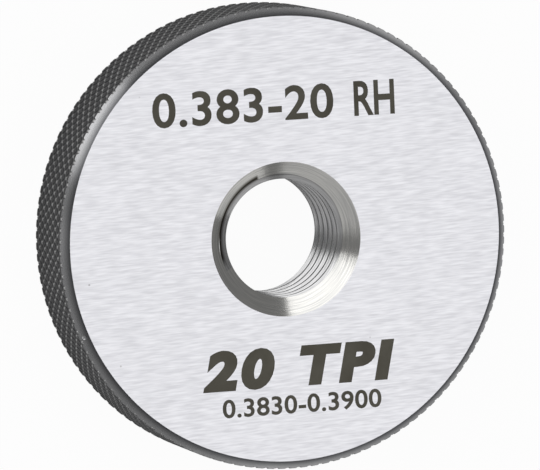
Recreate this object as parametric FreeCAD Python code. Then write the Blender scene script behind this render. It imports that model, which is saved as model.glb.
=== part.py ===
"""Thread ring gauge: one steel ring with a knurled rim, bevelled edges and a helical thread through its bore.

Lengths are in millimetres and angles in degrees. The origin is the middle of the lower face, +Z runs
along the bore to the marked face, and +X is the way the marks on that face read.
"""

import FreeCAD
import Part

import math
import os

# Ring blank
OUTER_DIAMETER = 38.0
RING_THICKNESS = 9.0
RIM_CHAMFER = 0.7

# Diamond knurl on the rim, in coarse meshes: this many grooves each way round, at an angle to the axis
KNURL_GROOVES = 84
KNURL_HELIX_ANGLE = 30.0
KNURL_DEPTH = 0.26

# Right-hand 7/16-20 thread: flats at crest and root are shares of the pitch
INCH = 25.4
THREADS_PER_INCH = 20
THREAD_MAJOR_DIAMETER = 11.1125
THREAD_FLANK_ANGLE = 30.0
CREST_FLAT_SHARE = 1 / 4
ROOT_FLAT_SHARE = 1 / 8

# Where the groove runs out into the marked face's mouth, and how much of the thin first thread is
# milled away there and at the lower face, a little deeper than the groove
RUNOUT_ANGLE = 205.0
BLUNT_START_ARC = 92.0
BLUNT_START_RELIEF = 0.05

# Conical mouth at each end of the bore
MOUTH_OVERSIZE = 0.8
MOUTH_INCLUDED_ANGLE = 120.0

# How the thread's crest is laid out in faces, and how far tools run past what they cut
CREST_SECTORS = 6
CUTTER_OVERLAP = 0.08
CUTTER_EXTRA_TURNS = 1
RIM_OVERRUN = 0.5

FULL_TURN = 360.0
ORIGIN = FreeCAD.Vector(0, 0, 0)
AXIS = FreeCAD.Vector(0, 0, 1)

outer_radius = OUTER_DIAMETER / 2
pitch = INCH / THREADS_PER_INCH
flank_slope = math.tan(math.radians(THREAD_FLANK_ANGLE))
thread_depth = (1 - CREST_FLAT_SHARE - ROOT_FLAT_SHARE) * pitch / 2 / flank_slope
major_radius = THREAD_MAJOR_DIAMETER / 2
minor_radius = major_radius - thread_depth
mouth_radius = major_radius + MOUTH_OVERSIZE
mouth_slope = math.tan(math.radians(MOUTH_INCLUDED_ANGLE / 2))
runout_depth = MOUTH_OVERSIZE / mouth_slope - ROOT_FLAT_SHARE * pitch / 2
start_angle = RUNOUT_ANGLE - FULL_TURN * (RING_THICKNESS - runout_depth) / pitch


def at(radius, height):
    """A point of a section, at a radius from the bore's axis and a height above the lower face."""
    return FreeCAD.Vector(radius, 0, height)


def flat_face(corners):
    """The flat face with these corners."""
    return Part.Face(Part.makePolygon(corners + corners[:1]))


def turned(section):
    """The solid that a closed section sweeps out round the bore's axis."""
    face = Part.Face(Part.makePolygon(section + section[:1]))
    return face.revolve(ORIGIN, AXIS, FULL_TURN)


def ring_blank():
    """The turned disc, whose 45 degree bevels run on past the rim that the knurl gives it."""
    past_radius = outer_radius + RIM_OVERRUN
    past_depth = RIM_CHAMFER + RIM_OVERRUN
    return turned(
        [
            at(0, 0),
            at(outer_radius - RIM_CHAMFER, 0),
            at(past_radius, past_depth),
            at(past_radius, RING_THICKNESS - past_depth),
            at(outer_radius - RIM_CHAMFER, RING_THICKNESS),
            at(0, RING_THICKNESS),
        ]
    )


def knurled_bar():
    """The bar that the ring is parted from: crossing grooves with a pointed diamond in each mesh."""
    half_step = FULL_TURN / KNURL_GROOVES / 2
    row_height = math.pi * outer_radius / KNURL_GROOVES / math.tan(math.radians(KNURL_HELIX_ANGLE))
    rows = math.ceil((RING_THICKNESS + 2 * RIM_OVERRUN) / row_height)
    lowest = (RING_THICKNESS - rows * row_height) / 2
    round_places = range(2 * KNURL_GROOVES)

    def crossing(place, row, rise=0.0):
        """A point of the net, at a place round the bar and a row, raised from the groove bottoms."""
        turn = math.radians(place * half_step)
        radius = outer_radius - KNURL_DEPTH + rise
        height = lowest + row * row_height
        return FreeCAD.Vector(radius * math.cos(turn), radius * math.sin(turn), height)

    faces = []
    for row in range(1, rows):
        for place in [place for place in round_places if (place + row) % 2]:
            tip = crossing(place, row, KNURL_DEPTH)
            corners = [
                crossing(place, row - 1),
                crossing(place + 1, row),
                crossing(place, row + 1),
                crossing(place - 1, row),
            ]
            for first, second in zip(corners, corners[1:] + corners[:1]):
                faces.append(flat_face([first, second, tip]))
    for row, inner_row in ((0, 1), (rows, rows - 1)):
        end_ring = []
        for place in [place for place in round_places if (place + row) % 2]:
            end_ring.append(crossing(place + 1, row))
            inner = crossing(place, inner_row)
            faces.append(flat_face([crossing(place - 1, row), crossing(place + 1, row), inner]))
        faces.append(flat_face(end_ring))
    shell = Part.makeShell(faces)
    shell.sewShape()
    return Part.makeSolid(shell)


def bore_cutters():
    """The bore at the thread's crest, as equal sectors of one cylinder."""
    sector_angle = FULL_TURN / CREST_SECTORS
    sectors = []
    for index in range(CREST_SECTORS):
        sector = Part.makeCylinder(minor_radius, RING_THICKNESS, ORIGIN, AXIS, sector_angle)
        sector.rotate(ORIGIN, AXIS, start_angle + index * sector_angle)
        sectors.append(sector)
    return sectors


def mouth_cutter(face_height, inward):
    """The cone that opens one end of the bore; inward is +1 at the lower face and -1 at the upper."""
    tip_depth = mouth_radius / mouth_slope
    return turned(
        [
            at(0, face_height),
            at(mouth_radius, face_height),
            at(0, face_height + inward * tip_depth),
        ]
    )


def helix_path(turns):
    """A helix at the crest radius, in edges of one turn each."""
    edges = []
    for index in range(turns):
        turn = Part.makeHelix(pitch, pitch, minor_radius)
        turn.translate(AXIS * (index * pitch))
        edges += turn.Edges
    return Part.Wire(edges)


def thread_cutter():
    """The thread's groove: its flat-bottomed V section swept along a helix past both faces."""
    root_half = ROOT_FLAT_SHARE * pitch / 2
    open_half = (1 - CREST_FLAT_SHARE) * pitch / 2 + CUTTER_OVERLAP * flank_slope
    corners = [
        at(minor_radius - CUTTER_OVERLAP, -open_half),
        at(major_radius, -root_half),
        at(major_radius, root_half),
        at(minor_radius - CUTTER_OVERLAP, open_half),
    ]
    section = Part.makePolygon(corners + corners[:1])
    turns = math.ceil(RING_THICKNESS / pitch) + 2 * CUTTER_EXTRA_TURNS
    groove = helix_path(turns).makePipeShell([section], True, True)
    groove.rotate(ORIGIN, AXIS, start_angle)
    groove.translate(AXIS * (-CUTTER_EXTRA_TURNS * pitch))
    return groove


def blunt_start_cutter(angle, height, toward_face):
    """The cutter that mills the thin first thread away, from the groove's middle to beyond the face.

    It starts at an angle and height on the thread's helix; toward_face is +1 for the marked face and
    -1 for the lower one.
    """
    path = Part.makeHelix(pitch, pitch * BLUNT_START_ARC / FULL_TURN, minor_radius)
    corners = [
        at(minor_radius - CUTTER_OVERLAP, 0),
        at(major_radius + BLUNT_START_RELIEF, 0),
        at(major_radius + BLUNT_START_RELIEF, toward_face * pitch),
        at(minor_radius - CUTTER_OVERLAP, toward_face * pitch),
    ]
    section = Part.makePolygon(corners + corners[:1])
    cutter = Part.Wire(path.Edges).makePipeShell([section], True, True)
    cutter.rotate(ORIGIN, AXIS, angle)
    cutter.translate(AXIS * height)
    return cutter


def ring_gauge():
    """The finished ring: blank, bore, mouths, thread and blunt starts, and then the knurled rim."""
    blunt_rise = pitch * BLUNT_START_ARC / FULL_TURN
    lower_runout = start_angle + FULL_TURN * runout_depth / pitch
    ring = ring_blank().cut(bore_cutters())
    ring = ring.cut(mouth_cutter(0, 1))
    ring = ring.cut(mouth_cutter(RING_THICKNESS, -1))
    ring = ring.cut(thread_cutter())
    upper_height = RING_THICKNESS - runout_depth - blunt_rise
    ring = ring.cut(blunt_start_cutter(RUNOUT_ANGLE - BLUNT_START_ARC, upper_height, 1))
    ring = ring.cut(blunt_start_cutter(lower_runout, runout_depth, -1))
    return ring.common(knurled_bar())


gauge = ring_gauge()
os.makedirs("parts", exist_ok=True)
gauge.exportStep("parts/ring_gauge.step")
print("ring_gauge", len(gauge.Solids), "solid", len(gauge.Faces), "faces", round(gauge.Volume, 2), "mm3")
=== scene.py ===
"""Thread ring gauge, dressed: ground face, dark knurled rim, turned bevels, cut thread and dark marks.

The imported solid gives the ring's place and overall size. Shapes are modelled in millimetres, as on a
drawing, and each finished mesh is brought to metres at the end.
"""

import logging
import math
from collections.abc import Callable
from dataclasses import dataclass
from enum import Enum

import bmesh
import bpy
from mathutils import Matrix, Vector

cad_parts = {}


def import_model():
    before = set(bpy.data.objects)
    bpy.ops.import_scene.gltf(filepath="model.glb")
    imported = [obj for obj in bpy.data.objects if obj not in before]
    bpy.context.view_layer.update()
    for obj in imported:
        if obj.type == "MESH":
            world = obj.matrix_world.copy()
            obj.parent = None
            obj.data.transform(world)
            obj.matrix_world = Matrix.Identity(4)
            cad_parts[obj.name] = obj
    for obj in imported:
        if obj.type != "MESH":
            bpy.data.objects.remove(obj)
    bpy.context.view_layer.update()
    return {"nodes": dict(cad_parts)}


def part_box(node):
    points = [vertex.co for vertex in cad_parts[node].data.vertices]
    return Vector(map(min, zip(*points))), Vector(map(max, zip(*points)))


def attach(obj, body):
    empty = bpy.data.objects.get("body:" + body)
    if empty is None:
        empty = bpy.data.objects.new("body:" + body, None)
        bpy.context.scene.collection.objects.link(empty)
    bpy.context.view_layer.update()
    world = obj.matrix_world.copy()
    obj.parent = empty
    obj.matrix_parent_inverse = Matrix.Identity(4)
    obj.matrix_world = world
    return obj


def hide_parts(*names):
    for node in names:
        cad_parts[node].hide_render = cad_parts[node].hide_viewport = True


LOG = logging.getLogger("ring_gauge")

MM = 0.001
MERGE_GAP = 0.0004
NODE = "ring_gauge"
BODY = "root"

Piece = bpy.types.Object
Tree = bpy.types.NodeTree
Node = bpy.types.Node
Socket = bpy.types.NodeSocket
Masks = dict[str, Socket]
Colour = tuple[float, float, float]
Pair = tuple[float, float]


def deselect_all() -> None:
    """Leaves edit mode and empties the selection."""
    if bpy.context.mode != "OBJECT":
        bpy.ops.object.mode_set(mode="OBJECT")
    bpy.ops.object.select_all(action="DESELECT")


def make_active(piece: Piece) -> None:
    """Selects one object alone and makes it the active one.

    Args:
        piece: the object.
    """
    deselect_all()
    piece.select_set(True)
    bpy.context.view_layer.objects.active = piece


def edit(piece: Piece, mode: str = "VERT", select: str = "SELECT") -> None:
    """Opens a mesh for editing.

    Args:
        piece: the mesh object to open.
        mode: VERT, EDGE or FACE, what is selected by hand.
        select: SELECT or DESELECT, the state that everything starts in.
    """
    make_active(piece)
    bpy.ops.object.mode_set(mode="EDIT")
    bpy.ops.mesh.select_mode(type=mode)
    bpy.ops.mesh.select_all(action=select)


def face_outwards() -> None:
    """Selects the whole of the open mesh and turns its faces outwards."""
    bpy.ops.mesh.select_all(action="SELECT")
    bpy.ops.mesh.normals_make_consistent(inside=False)


def close_mesh() -> None:
    """Turns the open mesh's faces outwards and leaves edit mode."""
    face_outwards()
    bpy.ops.object.mode_set(mode="OBJECT")


def fill_ends(piece: Piece) -> None:
    """Fills a mesh's open ends.

    Args:
        piece: the mesh object, closed but for them.
    """
    edit(piece, "EDGE", "DESELECT")
    bpy.ops.mesh.select_non_manifold()
    bpy.ops.mesh.fill_holes(sides=0)
    close_mesh()


def settle(piece: Piece) -> None:
    """Moves a piece's place, turn and size into its mesh."""
    make_active(piece)
    bpy.ops.object.transform_apply(location=True, rotation=True, scale=True)


def new_piece(maker: Callable, **settings: object) -> Piece:
    """Adds a simple shape with nothing else selected.

    Args:
        maker: the operator that adds it.
        settings: the operator's own settings.

    Returns:
        The new object, with its place and turn in its mesh.
    """
    deselect_all()
    maker(**settings)
    piece = bpy.context.object
    settle(piece)
    return piece


def coat(piece: Piece, finish: str) -> None:
    """Adds a finish to a piece; faces have the first one unless they are given another."""
    piece.data.materials.append(bpy.data.materials[finish])


def apply_modifier(piece: Piece, kind: str, **settings: object) -> None:
    """Adds a modifier, gives it its settings and applies it.

    Args:
        piece: the object to change.
        kind: the modifier's type, such as BOOLEAN.
        settings: the modifier's own properties by name.
    """
    make_active(piece)
    modifier = piece.modifiers.new(kind.title(), kind)
    for name, value in settings.items():
        setattr(modifier, name, value)
    bpy.ops.object.modifier_apply(modifier=modifier.name)


def wind(piece: Piece, angle: float, rise: float, steps: int, **settings: object) -> None:
    """Winds an outline into a screw about the Z axis.

    Args:
        piece: the object with the outline.
        angle: how far it turns.
        rise: how far it climbs on the way.
        steps: how many steps that takes.
        settings: more of the modifier's properties.
    """
    apply_modifier(
        piece,
        "SCREW",
        axis="Z",
        angle=angle,
        screw_offset=rise,
        steps=steps,
        render_steps=steps,
        merge_threshold=MERGE_GAP,
        **settings,
    )


def carve(piece: Piece, tool: Piece, operation: str) -> None:
    """Cuts or trims a solid with another and removes the tool.

    Args:
        piece: the solid that stays.
        tool: the solid that does the work; its faces bring their own materials.
        operation: DIFFERENCE to cut away, INTERSECT to keep what both hold.
    """
    apply_modifier(
        piece,
        "BOOLEAN",
        operation=operation,
        object=tool,
        solver="EXACT",
        material_mode="TRANSFER",
    )
    bpy.data.objects.remove(tool, do_unlink=True)


def finish_piece(piece: Piece, name: str, smooth_angle: float) -> Piece:
    """Cleans a piece, shades it and brings it from millimetres to metres.

    Args:
        piece: the modelled piece, in millimetres.
        name: its final name.
        smooth_angle: edges sharper than this many degrees stay crisp.

    Returns:
        The same object, at the origin with its place in its mesh.
    """
    edit(piece)
    bpy.ops.mesh.remove_doubles(threshold=MERGE_GAP)
    bpy.ops.mesh.dissolve_degenerate(threshold=MERGE_GAP)
    piece.scale = (MM, MM, MM)
    settle(piece)
    bpy.ops.object.shade_smooth_by_angle(angle=math.radians(smooth_angle))
    piece.name = name
    piece.data.name = name
    return piece


def report(piece: Piece) -> None:
    """Logs a piece's name, its triangles, its open edges and its volume.

    Args:
        piece: the finished piece, in metres.
    """
    mesh = bmesh.new()
    mesh.from_mesh(piece.data)
    open_edges = sum(1 for edge in mesh.edges if not edge.is_manifold)
    triangles = sum(len(face.verts) - 2 for face in mesh.faces)
    volume = mesh.calc_volume(signed=True) / MM**3
    mesh.free()
    LOG.info("%s: %d triangles, %d open edges, %.1f mm3", piece.name, triangles, open_edges, volume)


def direction(azimuth: float, elevation: float) -> Vector:
    """Works out the direction of a camera or a lamp.

    Args:
        azimuth: how far it is turned from +X, in degrees.
        elevation: how far it is above the level, in degrees.

    Returns:
        The direction from the ring, one long.
    """
    turn = math.radians(azimuth)
    lift = math.radians(elevation)
    return Vector((math.cos(lift) * math.cos(turn), math.cos(lift) * math.sin(turn), math.sin(lift)))


class End(Enum):
    """One end of the bore, as the way from the ring's middle to its face."""

    MARKED = 1
    LOWER = -1


def feed(tree: Tree, entry: Socket, value: object) -> None:
    """Fills one input of a node.

    Args:
        tree: the tree that holds the node.
        entry: the input.
        value: another node's output, or a plain value.
    """
    if isinstance(value, Socket):
        tree.links.new(value, entry)
    else:
        entry.default_value = value


def add_node(tree: Tree, kind: str, inputs: dict | None = None, **settings: object) -> Node:
    """Adds a node to a material, a world or a group.

    Args:
        tree: the tree to extend.
        kind: the node's type.
        inputs: what feeds each input, by name or number: a node's output or a plain value.
        settings: the node's own properties.

    Returns:
        The new node.
    """
    node = tree.nodes.new(kind)
    for name, value in settings.items():
        setattr(node, name, value)
    for name, value in (inputs or {}).items():
        feed(tree, node.inputs[name], value)
    return node


def maths(tree: Tree, kind: str, *values: object) -> Socket:
    """Adds one sum.

    Args:
        tree: the tree to extend.
        kind: the sum's name, such as MULTIPLY.
        values: what it works on, each a node's output or a number.

    Returns:
        The output with its result.
    """
    return add_node(tree, "ShaderNodeMath", dict(enumerate(values)), operation=kind).outputs["Value"]


def ramp(
    tree: Tree, source: Socket, start: object, end: object, low: float = 0.0, high: float = 1.0
) -> Socket:
    """Stretches part of a pattern's range over another one and cuts off what lies beyond it.

    Args:
        tree: the tree to extend.
        source: the pattern.
        start: the value that becomes low, a number or a node's output.
        end: the value that becomes high, in the same way.
        low: the result at the start.
        high: the result at the end.

    Returns:
        The stretched pattern.
    """
    span = {"Value": source, "From Min": start, "From Max": end, "To Min": low, "To Max": high}
    return add_node(tree, "ShaderNodeMapRange", span).outputs["Result"]


def noise(
    tree: Tree, place: Socket, detail: float, roughness: float = 0.5, scale: float = 1.0
) -> Socket:
    """Adds a soft noise.

    Args:
        tree: the tree to extend.
        place: where on the pattern each point lies.
        detail: how many finer layers it has.
        roughness: how strong the finer layers are.
        scale: how many patches there are in one unit of the place.

    Returns:
        The pattern.
    """
    patches = {"Vector": place, "Scale": scale, "Detail": detail, "Roughness": roughness}
    return add_node(tree, "ShaderNodeTexNoise", patches).outputs["Fac"]


def mixed(tree: Tree, mask: Socket, first: object, second: object) -> Socket:
    """Mixes two colours.

    Args:
        tree: the tree to extend.
        mask: 0 gives the first colour and 1 the second.
        first: three numbers or a node's output.
        second: three numbers or a node's output.

    Returns:
        The mixed colour.
    """
    ends = {"Factor": mask}
    for name, colour in (("A", first), ("B", second)):
        ends[name] = colour if isinstance(colour, Socket) else (*colour, 1.0)
    return add_node(tree, "ShaderNodeMix", ends, data_type="RGBA").outputs["Result"]


def place_on_piece(tree: Tree) -> Socket:
    """Returns a point's place on the piece, in metres."""
    return add_node(tree, "ShaderNodeTexCoord").outputs["Object"]


def split(tree: Tree, place: Socket) -> Node:
    """Returns the node that takes a place apart into X, Y and Z."""
    return add_node(tree, "ShaderNodeSeparateXYZ", {"Vector": place})


def off_axis(tree: Tree) -> Socket:
    """Returns the level part of a point's place, which starts at the bore's axis."""
    parts = {0: place_on_piece(tree), 1: (1.0, 1.0, 0.0)}
    return add_node(tree, "ShaderNodeVectorMath", parts, operation="MULTIPLY").outputs["Vector"]


def axis_distance(tree: Tree) -> Socket:
    """Returns a point's distance from the bore's axis, in metres."""
    level = {0: off_axis(tree)}
    return add_node(tree, "ShaderNodeVectorMath", level, operation="LENGTH").outputs["Value"]


class EffectGroup:
    """A shader effect that finishes share: a node group with its inputs, each with a usual value."""

    name: str = ""
    inputs: dict[str, float] = {}

    def group(self) -> Tree:
        """Finds the group, or makes it when it isn't there yet.

        Returns:
            The group.
        """
        found = bpy.data.node_groups.get(self.name)
        if found is not None:
            return found
        group = bpy.data.node_groups.new(self.name, "ShaderNodeTree")
        sockets = group.interface
        for name, usual in self.inputs.items():
            entry = sockets.new_socket(name=name, in_out="INPUT", socket_type="NodeSocketFloat")
            entry.default_value = usual
        given = add_node(group, "NodeGroupInput").outputs
        masks = self.build(group, dict(given.items()))
        for name in masks:
            sockets.new_socket(name=name, in_out="OUTPUT", socket_type="NodeSocketFloat")
        add_node(group, "NodeGroupOutput", masks)
        return group

    def add_to(self, tree: Tree, inputs: dict | None = None) -> Node:
        """Returns a node with the effect, placed among a material's nodes and given its inputs."""
        return add_node(tree, "ShaderNodeGroup", inputs, node_tree=self.group())

    def build(self, tree: Tree, given: Masks) -> Masks:
        """Makes the effect from the group's inputs and returns its outputs; each effect has its own."""
        raise NotImplementedError


class StraightGrain(EffectGroup):
    """Fine parallel lines left by a grinding wheel, drawn out along one direction."""

    name = "StraightGrain"
    inputs = {"Angle": 0.0}
    fine_scale = (700.0, 6800.0, 700.0)
    broad_scale = (240.0, 3500.0, 240.0)
    broad_share = 0.15
    detail = 1.0
    roughness = 0.65

    def build(self, tree: Tree, given: Masks) -> Masks:
        """Blends noise at two widths, both stretched along X.

        Args:
            tree: the group.
            given: the group's inputs.

        Returns:
            The mask Lines.
        """
        turn = {"Vector": place_on_piece(tree), "Angle": given["Angle"]}
        turned = add_node(tree, "ShaderNodeVectorRotate", turn, rotation_type="Z_AXIS")
        widths = {"Factor": self.broad_share}
        for name, scale in (("A", self.fine_scale), ("B", self.broad_scale)):
            stretch = {"Vector": turned.outputs["Vector"], "Scale": scale}
            stretched = add_node(tree, "ShaderNodeMapping", stretch)
            widths[name] = noise(tree, stretched.outputs["Vector"], self.detail, self.roughness)
        return {"Lines": add_node(tree, "ShaderNodeMix", widths).outputs["Result"]}


class TurningLines(EffectGroup):
    """Rings left by a lathe tool: noise that follows radius and height and runs round the axis."""

    name = "TurningLines"
    inputs = {"Rings Per Metre": 4000.0}
    change_round = 1.4
    detail = 3.0
    roughness = 0.7

    def build(self, tree: Tree, given: Masks) -> Masks:
        """Reads noise fast along radius and height, and slowly along the turn about the bore.

        Args:
            tree: the group.
            given: the group's inputs.

        Returns:
            The mask Lines.
        """
        rings = given["Rings Per Metre"]
        reach = maths(tree, "MULTIPLY", axis_distance(tree), rings)
        height = maths(tree, "MULTIPLY", split(tree, place_on_piece(tree)).outputs["Z"], rings)
        unit = add_node(tree, "ShaderNodeVectorMath", {0: off_axis(tree)}, operation="NORMALIZE")
        heading = split(tree, unit.outputs["Vector"])
        spot = {
            "X": maths(tree, "ADD", reach, height),
            "Y": maths(tree, "MULTIPLY", heading.outputs["X"], self.change_round),
            "Z": maths(tree, "MULTIPLY", heading.outputs["Y"], self.change_round),
        }
        place = add_node(tree, "ShaderNodeCombineXYZ", spot).outputs["Vector"]
        return {"Lines": noise(tree, place, self.detail, self.roughness)}


class Specks(EffectGroup):
    """Sparse tiny spots and fine mottle on steel."""

    name = "Specks"
    inputs = {"Cells Per Metre": 900.0}
    spot_core = 0.015
    spot_edge = 0.05
    empty_share = 0.86
    mottle_scale = 420.0
    mottle_detail = 4.0

    def build(self, tree: Tree, given: Masks) -> Masks:
        """Puts a dot in the middle of a few cells, and adds a soft mottle.

        Args:
            tree: the group.
            given: the group's inputs.

        Returns:
            The masks Spots and Mottle.
        """
        place = place_on_piece(tree)
        grid = {"Vector": place, "Scale": given["Cells Per Metre"]}
        cells = add_node(tree, "ShaderNodeTexVoronoi", grid).outputs
        near = ramp(tree, cells["Distance"], self.spot_core, self.spot_edge, 1.0, 0.0)
        lot = add_node(tree, "ShaderNodeSeparateColor", {"Color": cells["Color"]}).outputs["Red"]
        rare = maths(tree, "GREATER_THAN", lot, self.empty_share)
        return {
            "Spots": maths(tree, "MULTIPLY", near, rare),
            "Mottle": noise(tree, place, self.mottle_detail, scale=self.mottle_scale),
        }


class RadialStep(EffectGroup):
    """A step between two distances from the bore's axis: 0 up to the inner one, 1 past the outer."""

    name = "RadialStep"
    inputs = {"Inner Radius": 0.0187, "Outer Radius": 0.019}

    def build(self, tree: Tree, given: Masks) -> Masks:
        """Returns the mask Step, from the two radii among the group's inputs."""
        return {"Step": ramp(tree, axis_distance(tree), given["Inner Radius"], given["Outer Radius"])}


class GrooveCrossings(EffectGroup):
    """Where the knurl's two sets of grooves cross: 1 on a crossing, fading to 0 between them; it places
    the knurl's painted glints.
    """

    name = "GrooveCrossings"
    inputs = {"Grooves Round": 126.0, "First Row": 0.0, "Row Height": 0.0008}
    sharpness = 5.0

    def build(self, tree: Tree, given: Masks) -> Masks:
        """Multiplies one wave along each set of grooves, in turns of the groove count and in rows.

        Args:
            tree: the group.
            given: the group's inputs.

        Returns:
            The mask Crossing.
        """
        parts = split(tree, place_on_piece(tree)).outputs
        turn = maths(tree, "ARCTAN2", parts["X"], parts["Y"])
        grooves_passed = maths(tree, "MULTIPLY", turn, given["Grooves Round"])
        round_phase = maths(tree, "MULTIPLY", grooves_passed, 1 / 2)
        climb = maths(tree, "SUBTRACT", parts["Z"], given["First Row"])
        rows_passed = maths(tree, "DIVIDE", climb, given["Row Height"])
        row_phase = maths(tree, "MULTIPLY", rows_passed, math.pi / 2)
        waves = []
        for way in ("ADD", "SUBTRACT"):
            wave = maths(tree, "COSINE", maths(tree, way, round_phase, row_phase))
            waves.append(maths(tree, "ABSOLUTE", wave))
        return {"Crossing": maths(tree, "POWER", maths(tree, "MULTIPLY", *waves), self.sharpness)}


class ThreadRootShade(EffectGroup):
    """Painted shade deep in the thread: where a point lies near the root's radius and below the mouth's
    cone.
    """

    name = "ThreadRootShade"
    inputs = {"Half Thickness": 0.0045, "Mouth Radius": 0.006356}
    cone_angle = 30.0
    clear_depths = (0.00001, 0.00004)
    root_radii = (0.00515, 0.00542)

    def build(self, tree: Tree, given: Masks) -> Masks:
        """Compares the radius with the root's, and the depth below the nearer face with the cone's.

        Args:
            tree: the group.
            given: the group's inputs.

        Returns:
            The mask Root, where the painted shade lies.
        """
        radius = axis_distance(tree)
        half = given["Half Thickness"]
        off_middle = maths(tree, "SUBTRACT", split(tree, place_on_piece(tree)).outputs["Z"], half)
        depth = maths(tree, "SUBTRACT", half, maths(tree, "ABSOLUTE", off_middle))
        to_rim = maths(tree, "SUBTRACT", given["Mouth Radius"], radius)
        cone_depth = maths(tree, "MULTIPLY", to_rim, math.tan(math.radians(self.cone_angle)))
        below = ramp(tree, maths(tree, "SUBTRACT", depth, cone_depth), *self.clear_depths)
        return {"Root": maths(tree, "MULTIPLY", below, ramp(tree, radius, *self.root_radii))}


class StartShade(EffectGroup):
    """Painted shade in the corner where the first thread is milled away: strong where it starts, then
    fading.
    """

    name = "StartShade"
    inputs = {"Start Angle": 0.0, "Arc": 1.6}
    onset = 0.03
    radii = (0.00586, 0.00564)

    def build(self, tree: Tree, given: Masks) -> Masks:
        """Multiplies a ring near the thread's root by a stretch of the turn about the bore.

        Args:
            tree: the group.
            given: the group's inputs.

        Returns:
            The mask of the painted shade.
        """
        turn = {"Vector": place_on_piece(tree), "Angle": given["Start Angle"]}
        turned = add_node(tree, "ShaderNodeVectorRotate", turn, rotation_type="Z_AXIS", invert=True)
        parts = split(tree, turned.outputs["Vector"]).outputs
        angle = maths(tree, "ARCTAN2", parts["Y"], parts["X"])
        rise = ramp(tree, angle, 0.0, self.onset)
        fade = ramp(tree, angle, 0.0, given["Arc"], 1.0, 0.0)
        stretch = maths(tree, "MULTIPLY", rise, fade)
        return {"PaintedShade": maths(tree, "MULTIPLY", stretch, ramp(tree, axis_distance(tree), *self.radii))}


@dataclass(frozen=True)
class Finish:
    """What every finish has: a name, two colours, the shader's plain numbers and its tint at a slant."""

    name: str
    dark: Colour
    light: Colour
    levels: Pair = (0.3, 0.7)
    metallic: float = 1.0
    roughness: Pair = (0.3, 0.2)
    bump: float = 0.25
    bump_depth: float = 0.00002
    slanting: Colour = (1.0, 1.0, 1.0)

    def build(self) -> bpy.types.Material:
        """Makes the material: a pattern for colour and roughness, then any specks and painted shade over
        it, and the relief.

        Returns:
            The finished material.
        """
        material = bpy.data.materials.new(self.name)
        material.use_nodes = True
        material.diffuse_color = (*self.light, 1.0)
        tree = material.node_tree
        inputs = tree.nodes["Principled BSDF"].inputs
        inputs["Metallic"].default_value = self.metallic
        inputs["Specular Tint"].default_value = (*self.slanting, 1.0)
        pattern, relief = self.patterns(tree)
        mask = ramp(tree, pattern, *self.levels)
        feed(tree, inputs["Roughness"], ramp(tree, mask, 0.0, 1.0, *self.roughness))
        colour = mixed(tree, mask, self.dark, self.light)
        feed(tree, inputs["Base Color"], self.with_specks_and_shade(tree, colour))
        lines = {"Strength": self.bump, "Distance": self.bump_depth, "Height": relief}
        feed(tree, inputs["Normal"], add_node(tree, "ShaderNodeBump", lines).outputs["Normal"])
        return material

    def patterns(self, tree: Tree) -> tuple[Socket, Socket]:
        """Returns what runs from dark to light, and the relief's height; each finish has its own."""
        raise NotImplementedError

    def with_specks_and_shade(self, tree: Tree, colour: Socket) -> Socket:
        """Returns the colour as it is, for the finishes that have no specks or painted shade over it."""
        return colour


@dataclass(frozen=True)
class GroundSteel(Finish):
    """The flat faces: bright steel with straight grinding lines and a few specks."""

    name: str = "ground_steel"
    dark: Colour = (0.71, 0.71, 0.745)
    light: Colour = (0.86, 0.86, 0.895)
    roughness: Pair = (0.44, 0.38)
    bump: float = 0.12
    grain_angle: float = 2.0
    spot: Colour = (0.42, 0.41, 0.42)
    spot_cells: float = 420.0

    def patterns(self, tree: Tree) -> tuple[Socket, Socket]:
        """Returns the grinding lines, as colour and as relief."""
        grain = StraightGrain().add_to(tree, {"Angle": math.radians(-self.grain_angle)})
        return grain.outputs["Lines"], grain.outputs["Lines"]

    def with_specks_and_shade(self, tree: Tree, colour: Socket) -> Socket:
        """Returns the colour with the specks over it."""
        specks = Specks().add_to(tree, {"Cells Per Metre": self.spot_cells})
        return mixed(tree, specks.outputs["Spots"], colour, self.spot)


@dataclass(frozen=True)
class BlackKnurl(Finish):
    """The knurled rim: matt black diamonds, and groove walls painted lighter as a sheen, with painted
    glints where grooves cross.
    """

    name: str = "black_knurl"
    dark: Colour = (0.022, 0.022, 0.024)
    # The light colour is painted: a sheen on the groove walls and glints where grooves cross.
    light: Colour = (0.95, 0.95, 0.95)
    levels: Pair = (0.0, 1.0)
    metallic: float = 0.9
    roughness: Pair = (0.4, 0.2)
    bump: float = 0.4
    groove_radius: float = 0.01887
    crest_radius: float = 0.01899
    # Painted sheen on the groove walls away from the crossings.
    painted_wall_sheen: float = 0.2
    grooves_round: int = 126
    first_row: float = 0.0
    row_height: float = 0.0008

    def patterns(self, tree: Tree) -> tuple[Socket, Socket]:
        """Finds the groove walls that carry the painted sheen, and adds a fine mottle.

        Args:
            tree: the material's nodes.

        Returns:
            The walls with their painted sheen, brightest as painted glints where grooves cross, and the
            mottle as relief.
        """
        radii = {"Inner Radius": self.groove_radius, "Outer Radius": self.crest_radius}
        crests = RadialStep().add_to(tree, radii).outputs["Step"]
        grid = {
            "Grooves Round": float(self.grooves_round),
            "First Row": self.first_row,
            "Row Height": self.row_height,
        }
        crossings = GrooveCrossings().add_to(tree, grid).outputs["Crossing"]
        walls = ramp(tree, crests, 1.0, 0.0)
        # Painted glint: the walls' colour brightens towards the groove crossings.
        painted_glint = ramp(tree, crossings, 0.0, 1.0, self.painted_wall_sheen, 1.0)
        return maths(tree, "MULTIPLY", walls, painted_glint), Specks().add_to(tree).outputs["Mottle"]


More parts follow.
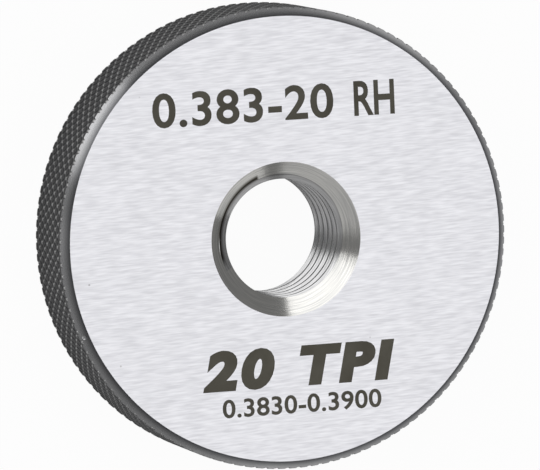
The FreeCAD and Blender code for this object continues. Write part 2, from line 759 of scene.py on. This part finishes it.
@dataclass(frozen=True)
class TurnedSteel(Finish):
    """Steel with turning lines, with a colour of painted shade laid over it where its mask lies."""

    rings: float = 5000.0
    shade_colour: Colour = (0.1, 0.1, 0.1)

    def patterns(self, tree: Tree) -> tuple[Socket, Socket]:
        """Returns the turning lines, as colour and as relief."""
        turning = TurningLines().add_to(tree, {"Rings Per Metre": self.rings})
        return turning.outputs["Lines"], turning.outputs["Lines"]

    def with_specks_and_shade(self, tree: Tree, colour: Socket) -> Socket:
        """Returns the colour with the painted shade over it."""
        return mixed(tree, self.shade_mask(tree), colour, self.shade_colour)

    def shade_mask(self, tree: Tree) -> Socket:
        """Returns where the painted shade lies, as 1; each finish has its own."""
        raise NotImplementedError


@dataclass(frozen=True)
class TurnedBevel(TurnedSteel):
    """The rim's bevels: turned steel, darker at a slant and with a painted dark band beside the ground
    face that stands in for a darker reflection.
    """

    name: str = "turned_bevel"
    dark: Colour = (0.42, 0.422, 0.43)
    light: Colour = (0.66, 0.66, 0.67)
    roughness: Pair = (0.26, 0.18)
    slanting: Colour = (0.05, 0.05, 0.055)
    rings: float = 5200.0
    # Painted shade: colour of the dark band beside the ground face.
    shade_colour: Colour = (0.17, 0.172, 0.18)
    shade_band_start: float = 0.01838
    shade_band_end: float = 0.01882

    def shade_mask(self, tree: Tree) -> Socket:
        """Returns the mask of the painted dark band, which fades away outwards."""
        radii = {"Inner Radius": self.shade_band_start, "Outer Radius": self.shade_band_end}
        return ramp(tree, RadialStep().add_to(tree, radii).outputs["Step"], 1.0, 0.0)


@dataclass(frozen=True)
class CutSteel(TurnedSteel):
    """The bore's mouths: bright cut steel, with painted shade in the corner at the thread's start."""

    name: str = "cut_steel"
    dark: Colour = (0.5, 0.5, 0.49)
    light: Colour = (0.74, 0.73, 0.7)
    roughness: Pair = (0.2, 0.1)
    bump: float = 0.3
    rings: float = 7000.0
    # Painted shade: colour of the corner where the thread starts.
    shade_colour: Colour = (0.09, 0.085, 0.07)
    corner_shade_start: float = 111.0
    corner_shade_arc: float = 95.0

    def shade_mask(self, tree: Tree) -> Socket:
        """Returns the mask of the painted shade in that corner."""
        turn = {"Start Angle": math.radians(self.corner_shade_start), "Arc": math.radians(self.corner_shade_arc)}
        return StartShade().add_to(tree, turn).outputs["PaintedShade"]


@dataclass(frozen=True)
class ThreadSteel(TurnedSteel):
    """The thread: greyer cut steel, with painted shade along its root."""

    name: str = "thread_steel"
    dark: Colour = (0.38, 0.38, 0.385)
    light: Colour = (0.62, 0.62, 0.62)
    roughness: Pair = (0.24, 0.14)
    rings: float = 9000.0
    levels: Pair = (0.35, 0.65)
    # Painted shade: colour along the thread's root.
    shade_colour: Colour = (0.04, 0.036, 0.028)

    def shade_mask(self, tree: Tree) -> Socket:
        """Returns the mask of the painted shade along the root."""
        return ThreadRootShade().add_to(tree).outputs["Root"]


@dataclass(frozen=True)
class EtchedMark(Finish):
    """The burnt-in marks: matt dark olive brown."""

    name: str = "etched_mark"
    dark: Colour = (0.062, 0.056, 0.04)
    light: Colour = (0.085, 0.078, 0.058)
    metallic: float = 0.0
    roughness: Pair = (0.75, 0.6)
    bump: float = 0.2
    bump_depth: float = 0.00001

    def patterns(self, tree: Tree) -> tuple[Socket, Socket]:
        """Returns a fine mottle, as colour and as relief."""
        specks = Specks().add_to(tree)
        return specks.outputs["Mottle"], specks.outputs["Mottle"]


@dataclass
class TurnedForm:
    """The lathe work: outer bevels, flat faces, conical mouths and a plain pilot bore, in millimetres."""

    outer_radius: float
    thickness: float
    bevel: float = 0.7
    mouth_radius: float = 6.356
    mouth_angle: float = 120.0
    pilot_radius: float = 4.5
    overrun: float = 0.5
    segments: int = 504
    flat_limit: float = 5.0

    def mouth_depth(self, radius: float) -> float:
        """Returns how far below a face the mouth's cone reaches a radius."""
        return (self.mouth_radius - radius) / math.tan(math.radians(self.mouth_angle / 2))

    def section(self) -> list[Pair]:
        """Lays the section out.

        Returns:
            Its corners as radius and height, from the pilot bore outwards and back.
        """
        lower = [
            (self.pilot_radius, self.mouth_depth(self.pilot_radius)),
            (self.mouth_radius, 0.0),
            (self.outer_radius - self.bevel, 0.0),
            (self.outer_radius + self.overrun, self.bevel + self.overrun),
        ]
        return lower + [(radius, self.thickness - depth) for radius, depth in reversed(lower)]

    def build(self) -> Piece:
        """Turns the section about the bore's axis.

        Returns:
            The closed ring, wider than the knurl all round.
        """
        points = self.section()
        radius, height = points[0]
        ring = new_piece(
            bpy.ops.mesh.primitive_circle_add,
            vertices=self.segments,
            radius=radius,
            location=(0, 0, height),
        )
        edit(ring, "EDGE")
        for before, after in zip(points, points[1:] + points[:1]):
            bpy.ops.mesh.extrude_edges_move()
            ratio = after[0] / before[0]
            bpy.ops.transform.resize(value=(ratio, ratio, 1), center_override=(0, 0, before[1]))
            bpy.ops.transform.translate(value=(0, 0, after[1] - before[1]))
        bpy.ops.mesh.select_all(action="SELECT")
        bpy.ops.mesh.remove_doubles(threshold=MERGE_GAP)
        close_mesh()
        names = ("ground_steel", "turned_bevel", "cut_steel")
        for name in names:
            coat(ring, name)
        middle = (self.mouth_radius + self.outer_radius) / 2
        for face in ring.data.polygons:
            flat = abs(face.normal.z) > math.cos(math.radians(self.flat_limit))
            outside = math.hypot(face.center.x, face.center.y) > middle
            side = "turned_bevel" if outside else "cut_steel"
            face.material_index = names.index("ground_steel" if flat else side)
        return ring


@dataclass
class KnurledBar:
    """The knurled bar that the ring is parted from: flat-topped diamonds between crossing grooves."""

    outer_radius: float
    thickness: float
    grooves_round: int = 126
    helix_angle: float = 30.0
    groove_depth: float = 0.14
    flank_width: float = 0.15
    overrun: float = 0.6

    @property
    def row_height(self) -> float:
        """The height from one row of crossings to the next."""
        spacing = 2 * math.pi * self.outer_radius / self.grooves_round
        return spacing / 2 / math.tan(math.radians(self.helix_angle))

    @property
    def rows(self) -> int:
        """How many rows the bar needs."""
        return math.ceil((self.thickness + 2 * self.overrun) / self.row_height)

    @property
    def first_row(self) -> float:
        """The height of the lowest row, with the net centred on the ring."""
        return (self.thickness - self.rows * self.row_height) / 2

    def build(self) -> Piece:
        """Lays the crossing grooves out as a net and raises a diamond in each of its meshes.

        Returns:
            The closed bar, longer than the ring is thick.
        """
        half_turn = math.pi / self.grooves_round
        bar = new_piece(
            bpy.ops.mesh.primitive_circle_add,
            vertices=self.grooves_round,
            radius=self.outer_radius - self.groove_depth,
            location=(0, 0, self.first_row),
        )
        edit(bar, "EDGE")
        for _ in range(self.rows):
            bpy.ops.mesh.extrude_edges_move()
            bpy.ops.transform.translate(value=(0, 0, self.row_height))
            bpy.ops.transform.rotate(value=half_turn, orient_axis="Z", center_override=(0, 0, 0))
        bpy.ops.mesh.select_all(action="SELECT")
        bpy.ops.mesh.quads_convert_to_tris(quad_method="SHORTEST_DIAGONAL")
        self.open_net(bar)
        self.raise_diamonds()
        fill_ends(bar)
        coat(bar, "black_knurl")
        return bar

    def open_net(self, bar: Piece) -> None:
        """Dissolves the level edges between the end rows, which leaves whole diamonds.

        Args:
            bar: the triangulated bar, open in edit mode.
        """
        bottom = self.first_row
        top = bottom + self.rows * self.row_height
        net = bmesh.from_edit_mesh(bar.data)
        bpy.ops.mesh.select_all(action="DESELECT")
        for edge in net.edges:
            low, high = sorted(vertex.co.z for vertex in edge.verts)
            level = high - low < MERGE_GAP
            inner = bottom + MERGE_GAP < low and high < top - MERGE_GAP
            edge.select_set(level and inner)
        bmesh.update_edit_mesh(bar.data)
        bpy.ops.mesh.dissolve_edges(use_verts=False)

    def raise_diamonds(self) -> None:
        """Insets every mesh of the open net and lifts it; the net's lines stay as groove bottoms."""
        bpy.ops.mesh.select_mode(type="FACE")
        face_outwards()
        bpy.ops.mesh.inset(
            thickness=self.flank_width, depth=self.groove_depth, use_individual=True, use_even_offset=True
        )


@dataclass
class ThreadTap:
    """The tool that cuts the thread: a rod with a right-hand 7/16-20 thread, in millimetres."""

    form: TurnedForm
    inch: float = 25.4
    threads_per_inch: int = 20
    major_diameter: float = 11.1125
    flank_angle: float = 30.0
    crest_share: float = 1 / 4
    root_share: float = 1 / 8
    runout_angle: float = 205.0
    steps: int = 144
    overrun: float = 0.7
    lead_turns: int = 2
    spare_turns: int = 3

    @property
    def pitch(self) -> float:
        """The distance from one turn to the next."""
        return self.inch / self.threads_per_inch

    @property
    def depth(self) -> float:
        """The thread's depth from crest to root."""
        straight = (1 - self.crest_share - self.root_share) * self.pitch
        return straight / 2 / math.tan(math.radians(self.flank_angle))

    @property
    def runout_depth(self) -> float:
        """How far below a face the groove's middle is where the groove runs out into the mouth."""
        return self.form.mouth_depth(self.major_diameter / 2) - self.root_share * self.pitch / 2

    def groove_angle(self, height: float) -> float:
        """Returns the angle at which the groove's middle reaches a height, in degrees."""
        below = self.form.thickness - self.runout_depth - height
        return self.runout_angle - 360 * below / self.pitch

    def profile(self) -> list[Pair]:
        """Lays out one pitch of the rod's outline, with the ring's groove in its middle.

        Returns:
            Its corners as radius and height.
        """
        root = self.major_diameter / 2
        crest = root - self.depth
        crest_half = self.crest_share * self.pitch / 2
        root_half = self.root_share * self.pitch / 2
        middle = self.pitch / 2
        return [
            (crest, 0.0),
            (crest, crest_half),
            (root, middle - root_half),
            (root, middle + root_half),
            (crest, self.pitch - crest_half),
            (crest, self.pitch),
        ]

    def build(self) -> Piece:
        """Winds the outline into a threaded rod, which then gets its place and flat ends.

        Returns:
            The closed rod, longer than the ring is thick.
        """
        points = self.profile()
        rod = new_piece(bpy.ops.mesh.primitive_circle_add, vertices=3, radius=1.0, location=(0, 0, 0))
        edit(rod)
        bpy.ops.mesh.merge(type="CENTER")
        bpy.ops.transform.translate(value=(points[0][0], 0, points[0][1]))
        for before, after in zip(points, points[1:]):
            bpy.ops.mesh.extrude_vertices_move()
            bpy.ops.transform.translate(value=(after[0] - before[0], 0, after[1] - before[1]))
        turns = math.ceil((self.form.thickness + 2 * self.overrun) / self.pitch) + self.spare_turns
        wind(rod, 2 * math.pi, self.pitch, self.steps, iterations=turns, use_merge_vertices=True)
        rod.rotation_euler.z = math.radians(self.groove_angle(self.pitch / 2))
        rod.location.z = -self.lead_turns * self.pitch
        settle(rod)
        self.square_ends(rod)
        coat(rod, "thread_steel")
        return rod

    def square_ends(self, rod: Piece) -> None:
        """Cuts both ends flat a little past the ring's faces and closes them.

        Args:
            rod: the rod in its place.
        """
        edit(rod)
        bpy.ops.mesh.remove_doubles(threshold=MERGE_GAP)
        for height, away in ((-self.overrun, -1), (self.form.thickness + self.overrun, 1)):
            bpy.ops.mesh.select_all(action="SELECT")
            bpy.ops.mesh.bisect(
                plane_co=(0, 0, height), plane_no=(0, 0, away), use_fill=True, clear_outer=True
            )
        close_mesh()


@dataclass
class BluntStart:
    """The cutter that mills the thin first thread away at one end of the bore."""

    tap: ThreadTap
    arc: float = 92.0
    relief: float = 0.05
    inner_gap: float = 0.08
    steps: int = 46

    def build(self, end: End) -> Piece:
        """Sweeps a square section along the groove's middle, towards the face.

        Args:
            end: the face at which the thread starts.

        Returns:
            The closed cutter.
        """
        tap = self.tap
        root = tap.major_diameter / 2 + self.relief
        crest = tap.major_diameter / 2 - tap.depth - self.inner_gap
        rise = tap.pitch * self.arc / 360
        height = tap.runout_depth
        if end is End.MARKED:
            height = tap.form.thickness - tap.runout_depth - rise
        cutter = new_piece(bpy.ops.mesh.primitive_plane_add, size=1, rotation=(math.pi / 2, 0, 0))
        cutter.scale = (root - crest, 1, tap.pitch)
        cutter.location = ((root + crest) / 2, 0, end.value * tap.pitch / 2)
        settle(cutter)
        edit(cutter)
        bpy.ops.mesh.delete(type="ONLY_FACE")
        wind(cutter, math.radians(self.arc), rise, self.steps)
        fill_ends(cutter)
        cutter.rotation_euler.z = math.radians(tap.groove_angle(height))
        cutter.location.z = height
        settle(cutter)
        coat(cutter, "thread_steel")
        return cutter


@dataclass(frozen=True)
class Mark:
    """One line of marking: what it says, where it starts and how large it is, in millimetres."""

    words: str
    left: float
    right: float
    baseline: float
    cap_height: float
    weight: float = 0.02
    slant: float = 0.0
    spacing: float = 1.0


@dataclass
class FaceMarks:
    """The marks burnt into the upper face, as cutting tools a hair deep."""

    thickness: float
    depth: float = 0.03
    sliver_area: float = 1e-5
    curve_steps: int = 5
    raw_depth: float = 0.5
    lines: tuple[Mark, ...] = (
        Mark("0.383-20", -10.9, 4.5, baseline=9.72, cap_height=2.87, spacing=1.06),
        Mark("RH", 6.25, 9.73, baseline=9.72, cap_height=2.87),
        Mark("20 TPI", -7.6, 8.9, -12.2, cap_height=3.42, weight=0.06, slant=0.18, spacing=1.2),
        Mark("0.3830-0.3900", -6.0, 7.6, baseline=-14.4, cap_height=1.56, spacing=1.04),
    )

    def letters(self, mark: Mark) -> Piece:
        """Shapes one line of marking as a thin solid that straddles the face.

        Args:
            mark: the line.

        Returns:
            The letters as one closed mesh.
        """
        deselect_all()
        bpy.ops.object.text_add(location=(0, 0, 0))
        text = bpy.context.object
        text.data.body = mark.words
        text.data.offset = mark.weight
        text.data.shear = mark.slant
        text.data.space_character = mark.spacing
        text.data.resolution_u = self.curve_steps
        text.data.extrude = self.raw_depth
        make_active(text)
        bpy.ops.object.convert(target="MESH")
        letters = bpy.context.object
        low = Vector([min(v.co[i] for v in letters.data.vertices) for i in range(3)])
        high = Vector([max(v.co[i] for v in letters.data.vertices) for i in range(3)])
        wide = (mark.right - mark.left) / (high.x - low.x)
        tall = mark.cap_height / (high.y - low.y)
        thick = 2 * self.depth / (high.z - low.z)
        letters.scale = (wide, tall, thick)
        letters.location = (
            mark.left - low.x * wide,
            mark.baseline - low.y * tall,
            self.thickness - (low.z + high.z) / 2 * thick,
        )
        settle(letters)
        edit(letters)
        bpy.ops.mesh.remove_doubles(threshold=MERGE_GAP)
        face_outwards()
        self.join_slivers(letters)
        bpy.ops.object.mode_set(mode="OBJECT")
        letters.data.materials.clear()
        coat(letters, "etched_mark")
        return letters

    def join_slivers(self, letters: Piece) -> None:
        """Joins each triangle without area in the letters' flat ends to its neighbours.

        Args:
            letters: the letters, open in edit mode.
        """
        outline = bmesh.from_edit_mesh(letters.data)
        bpy.ops.mesh.select_mode(type="EDGE")
        bpy.ops.mesh.select_all(action="DESELECT")
        for edge in outline.edges:
            heights = [vertex.co.z for face in edge.link_faces for vertex in face.verts]
            level = max(heights) - min(heights) < MERGE_GAP
            thin = min(face.calc_area() for face in edge.link_faces) < self.sliver_area
            edge.select_set(level and thin)
        bmesh.update_edit_mesh(letters.data)
        bpy.ops.mesh.dissolve_edges(use_verts=False)


@dataclass
class RingGauge:
    """The whole ring as one piece, built the way it is made: knurl, turn, thread and mark."""

    bar: KnurledBar
    smooth_angle: float = 28.0
    nick_angle: float = 201.75
    nick_radius: float = 0.3
    nick_detail: int = 3

    def nick(self, form: TurnedForm) -> Piece:
        """Shapes the tool for the small dent in the upper bevel.

        Args:
            form: the ring as it is turned.

        Returns:
            A small rounded solid set into the bevel.
        """
        reach = form.outer_radius - form.bevel / 2 + self.nick_radius / 2
        angle = math.radians(self.nick_angle)
        dent = new_piece(
            bpy.ops.mesh.primitive_ico_sphere_add,
            subdivisions=self.nick_detail,
            radius=self.nick_radius,
            location=(
                reach * math.cos(angle),
                reach * math.sin(angle),
                form.thickness - form.bevel / 2 + self.nick_radius / 2,
            ),
        )
        coat(dent, "turned_bevel")
        return dent

    def build(self) -> Piece:
        """Makes the ring.

        Returns:
            The finished ring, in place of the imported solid.
        """
        form = TurnedForm(self.bar.outer_radius, self.bar.thickness)
        ring = form.build()
        tap = ThreadTap(form)
        carve(ring, tap.build(), "DIFFERENCE")
        for end in End:
            carve(ring, BluntStart(tap).build(end), "DIFFERENCE")
        marks = FaceMarks(form.thickness)
        for mark in marks.lines:
            carve(ring, marks.letters(mark), "DIFFERENCE")
        carve(ring, self.nick(form), "DIFFERENCE")
        carve(ring, self.bar.build(), "INTERSECT")
        ring = finish_piece(ring, "ring_gauge_dressed", self.smooth_angle)
        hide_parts(NODE)
        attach(ring, BODY)
        report(ring)
        return ring


@dataclass(frozen=True)
class Panel:
    """One soft rectangular lamp that faces the ring, in metres and degrees, where radiance 1 is white."""

    name: str
    azimuth: float
    elevation: float
    size: Pair
    radiance: float
    reach: float = 0.9


@dataclass
class Studio:
    """Pale floor, soft lamps and the camera at the photograph's view, in metres."""

    target: Vector
    view_azimuth: float = 160.8
    view_elevation: float = 72.93
    view_roll: float = 106.054
    distance: float = 0.6166
    across: float = -0.001328
    upward: float = 0.000341
    lens: float = 502.29
    sensor: float = 36.0
    clip: Pair = (0.01, 20.0)
    floor_size: float = 3.0
    floor_grey: float = 0.78
    floor_roughness: float = 0.9
    floor_glow: float = 0.96
    sky_light: float = 0.22
    panels: tuple[Panel, ...] = (
        Panel("top_panel", azimuth=-18.7, elevation=73.0, size=(1.0, 1.0), radiance=0.92),
        Panel("key_panel", azimuth=114.5, elevation=40.0, size=(1.25, 0.6), radiance=1.35),
        Panel("rim_strip", azimuth=143.0, elevation=13.0, size=(0.5, 0.26), radiance=0.85),
        Panel("left_fill", azimuth=230.0, elevation=38.0, size=(2.25, 0.5), radiance=0.32),
        Panel("right_fill", azimuth=320.0, elevation=15.0, size=(0.6, 0.35), radiance=0.45),
    )

    def axes(self) -> tuple[Vector, Vector, Vector]:
        """Works out which way the camera is turned.

        Returns:
            Its right, up and back directions.
        """
        back = direction(self.view_azimuth, self.view_elevation)
        level_up = (Vector((0, 0, 1)) - back * back.z).normalized()
        level_right = level_up.cross(back)
        roll = math.radians(self.view_roll)
        right = level_right * math.cos(roll) + level_up * math.sin(roll)
        up = level_up * math.cos(roll) - level_right * math.sin(roll)
        return right, up, back

    def camera(self) -> bpy.types.Object:
        """Sets the scene's camera up at the photograph's view.

        Returns:
            The camera.
        """
        right, up, back = self.axes()
        data = bpy.data.cameras.new("photo_view")
        data.lens = self.lens
        data.sensor_width = self.sensor
        data.sensor_fit = "HORIZONTAL"
        data.clip_start, data.clip_end = self.clip
        camera = bpy.data.objects.new("photo_view", data)
        bpy.context.scene.collection.objects.link(camera)
        place = self.target + back * self.distance + right * self.across + up * self.upward
        turn = Matrix((right, up, back)).transposed().to_4x4()
        camera.matrix_world = Matrix.Translation(place) @ turn
        bpy.context.scene.camera = camera
        return camera

    @staticmethod
    def brighten(tree: Tree, output: str, plain: Socket, bright: Socket, share: float) -> None:
        """Shows a bright shader to the camera, where everything else gets light from a plain one.

        Args:
            tree: the nodes of the floor or the world.
            output: the name of the tree's output node.
            plain: the shader that lights the ring and is seen in it.
            bright: the shader that the camera sees.
            share: how much of it the camera sees, from 0 to 1.
        """
        path = add_node(tree, "ShaderNodeLightPath")
        seen = maths(tree, "MULTIPLY", path.outputs["Is Camera Ray"], share)
        mix = add_node(tree, "ShaderNodeMixShader", {"Fac": seen, 1: plain, 2: bright})
        feed(tree, tree.nodes[output].inputs["Surface"], mix.outputs["Shader"])

    def floor(self) -> bpy.types.Object:
        """Lays the pale floor, white to the camera but for the ring's shadow.

        Returns:
            The floor.
        """
        floor = new_piece(bpy.ops.mesh.primitive_plane_add, size=self.floor_size, location=(0, 0, 0))
        floor.name = "studio_floor"
        material = bpy.data.materials.new("studio_white")
        material.use_nodes = True
        tree = material.node_tree
        shader = tree.nodes["Principled BSDF"]
        grey = self.floor_grey
        shader.inputs["Base Color"].default_value = (grey, grey, grey, 1.0)
        shader.inputs["Roughness"].default_value = self.floor_roughness
        glow = add_node(tree, "ShaderNodeEmission", {"Strength": 1.0}).outputs["Emission"]
        self.brighten(tree, "Material Output", shader.outputs["BSDF"], glow, self.floor_glow)
        floor.data.materials.append(material)
        return floor

    def hang(self, panel: Panel) -> bpy.types.Object:
        """Hangs one lamp.

        Args:
            panel: where it hangs, its size and how bright it is.

        Returns:
            The lamp.
        """
        width, height = panel.size
        data = bpy.data.lights.new(panel.name, "AREA")
        data.shape = "RECTANGLE"
        data.size = width
        data.size_y = height
        data.energy = panel.radiance * math.pi * width * height
        lamp = bpy.data.objects.new(panel.name, data)
        bpy.context.scene.collection.objects.link(lamp)
        away = direction(panel.azimuth, panel.elevation)
        lamp.location = self.target + away * panel.reach
        lamp.rotation_euler = away.to_track_quat("Z", "Y").to_euler()
        return lamp

    def world(self) -> None:
        """Lights the ring evenly from all round, and shows white behind it."""
        world = bpy.data.worlds.new("studio_world")
        bpy.context.scene.world = world
        world.use_nodes = True
        tree = world.node_tree
        plain = tree.nodes["Background"]
        plain.inputs["Color"].default_value = (1.0, 1.0, 1.0, 1.0)
        plain.inputs["Strength"].default_value = self.sky_light
        white = add_node(tree, "ShaderNodeBackground", {"Strength": 1.0}).outputs["Background"]
        self.brighten(tree, "World Output", plain.outputs["Background"], white, 1.0)

    def build(self) -> None:
        """Sets the stage."""
        self.camera()
        self.floor()
        self.world()
        for panel in self.panels:
            self.hang(panel)
        bpy.context.scene.view_settings.view_transform = "Standard"


def main() -> None:
    """Builds the ring and its studio, sized from the imported solid's bounding box."""
    logging.basicConfig(level=logging.INFO, format="%(name)s: %(message)s")
    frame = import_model()
    LOG.info("frame holds %d node(s)", len(frame["nodes"]))
    low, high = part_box(NODE)
    outer_radius = (high[0] - low[0]) / 2 / MM
    thickness = (high[2] - low[2]) / MM
    bar = KnurledBar(outer_radius, thickness)
    knurl = BlackKnurl(
        grooves_round=bar.grooves_round, first_row=bar.first_row * MM, row_height=bar.row_height * MM
    )
    finishes = (GroundSteel(), knurl, TurnedBevel(), CutSteel(), ThreadSteel(), EtchedMark())
    for finish in finishes:
        finish.build()
    RingGauge(bar).build()
    Studio(target=Vector((0, 0, thickness * MM))).build()


if __name__ == "__main__":
    main()
